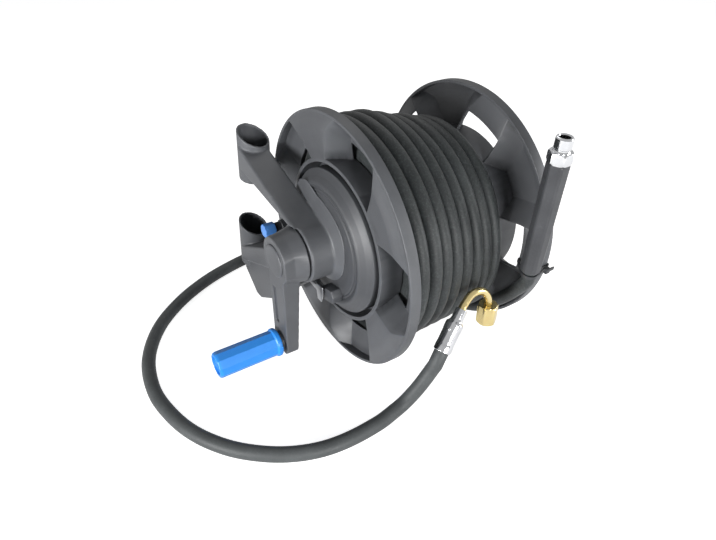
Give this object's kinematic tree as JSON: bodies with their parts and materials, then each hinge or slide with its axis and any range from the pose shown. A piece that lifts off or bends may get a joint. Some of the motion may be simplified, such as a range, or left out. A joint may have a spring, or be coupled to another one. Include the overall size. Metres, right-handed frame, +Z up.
{
  "type": "hose reel",
  "caption": "Crank-wound hose reel with petal flanges, a one-sided tube bracket, a wound pressure hose and a leader hose that ends in a swivel nut.",
  "frame": {"origin": "middle of the reel's footprint on the floor, without the free leader hose", "axes": "+X along the axle from the crank to the far flange, +Y towards the bracket's sockets, +Z up"},
  "size_m": [0.4056, 0.3665, 0.26],
  "materials": {
    "bearing_bronze": "dull bearing bronze",
    "blue_plastic": "satin blue plastic",
    "brass": "bright brass",
    "bright_silver": "bright plated",
    "dark_plastic": "black plastic",
    "grey_plastic": "moulded grey plastic with a fine grain",
    "hose_rubber": "black hose rubber",
    "sleeve_rubber": "smooth dark sleeve",
    "zinc_steel": "zinc plated"
  },
  "bodies": {
    "bracket": {"disc_screw_1": "zinc_steel", "disc_screw_2": "zinc_steel", "disc_screw_3": "zinc_steel", "disc_screw_4": "zinc_steel", "gooseneck": "brass", "hub_bush": "bearing_bronze", "hub_disc": "grey_plastic", "inlet_crimp": "bright_silver", "inlet_elbow": "brass", "leader_ferrule": "bright_silver", "leader_hose": "hose_rubber", "lock_housing": "dark_plastic", "mounting_bracket": "grey_plastic"},
    "spool": {"cable_tie": "dark_plastic", "centre_shaft": "zinc_steel", "crank_arm": "grey_plastic", "crank_cap": "grey_plastic", "crank_screw": "zinc_steel", "drum_barrel": "grey_plastic", "far_flange": "grey_plastic", "far_web_screw_1": "zinc_steel", "far_web_screw_2": "zinc_steel", "far_web_screw_3": "zinc_steel", "grip_pin": "zinc_steel", "grip_washer": "dark_plastic", "hose_inner_layers": "hose_rubber", "inlet_spigot": "brass", "near_flange": "grey_plastic", "near_web_screw_1": "zinc_steel", "near_web_screw_2": "zinc_steel", "near_web_screw_3": "zinc_steel", "tail_fitting": "bright_silver", "tail_sleeve": "sleeve_rubber", "thrust_washer": "zinc_steel", "working_hose_tail": "hose_rubber", "wound_hose": "hose_rubber"},
    "grip": {"hand_grip": "blue_plastic"},
    "lock": {"lock_pin": "zinc_steel", "lock_knob": "blue_plastic"},
    "nut": {"swivel_nut": "brass"}
  },
  "joints": [
    {"name": "spool_spin", "type": "hinge", "parent": "bracket", "child": "spool", "pos_m": [-0.03375, -0.00927, 0.13], "axis": [1, 0, 0], "continuous": true},
    {"name": "grip_spin", "type": "hinge", "parent": "spool", "child": "grip", "pos_m": [-0.03375, -0.00539, 0.02907], "axis": [1, 0, 0], "continuous": true},
    {"name": "lock_slide", "type": "slide", "parent": "bracket", "child": "lock", "axis": [1, 0, 0], "range_m": [0, 0.007]},
    {"name": "nut_spin", "type": "hinge", "parent": "bracket", "child": "nut", "pos_m": [0.07045, -0.12847, 0.0733], "axis": [0, 0, 1], "continuous": true}
  ]
}
